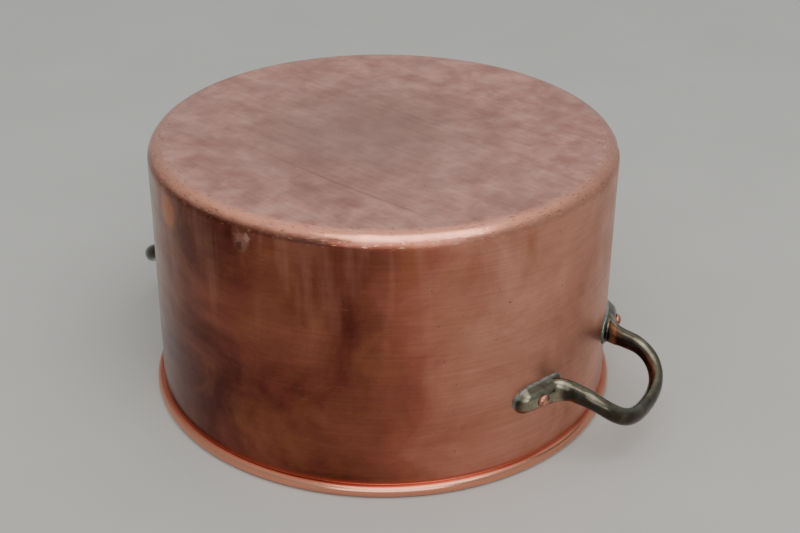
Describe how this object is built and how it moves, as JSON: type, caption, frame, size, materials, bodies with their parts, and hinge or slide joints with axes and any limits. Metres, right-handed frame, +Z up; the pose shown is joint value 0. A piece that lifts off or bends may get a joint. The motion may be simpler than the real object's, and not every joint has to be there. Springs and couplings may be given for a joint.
{
  "type": "saucepan",
  "caption": "Straight-sided copper pan with a rolled rim and a riveted cast loop handle on each side, standing upside down on its rim.",
  "frame": {"origin": "on the pan's axis, in the plane that the rolled rim rests on while the pan stands upside down", "axes": "+Z up along the pan's axis and out through the base, so that the pan's mouth faces -Z; +X across the pan to the side of the right handle, midway between the two handles' lines; in use the pan is turned over, with -Z up"},
  "size_m": [0.313, 0.2472, 0.14],
  "materials": {
    "copper": "polished copper with a worn brown patina",
    "iron_wire": "plain iron wire, hidden in the roll",
    "tin": "wiped tin, dull grey",
    "cast_bronze": "cast bronze with a dark olive-brown patina",
    "rivet_copper": "hammered copper, rubbed bright"
  },
  "bodies": {
    "root": {"copper_body": "copper", "rim_wire": "iron_wire", "tin_lining": "tin", "handle_right": "cast_bronze", "handle_left": "cast_bronze", "rivet_right_front": "rivet_copper", "rivet_right_rear": "rivet_copper", "rivet_left_front": "rivet_copper", "rivet_left_rear": "rivet_copper"}
  },
  "joints": []
}
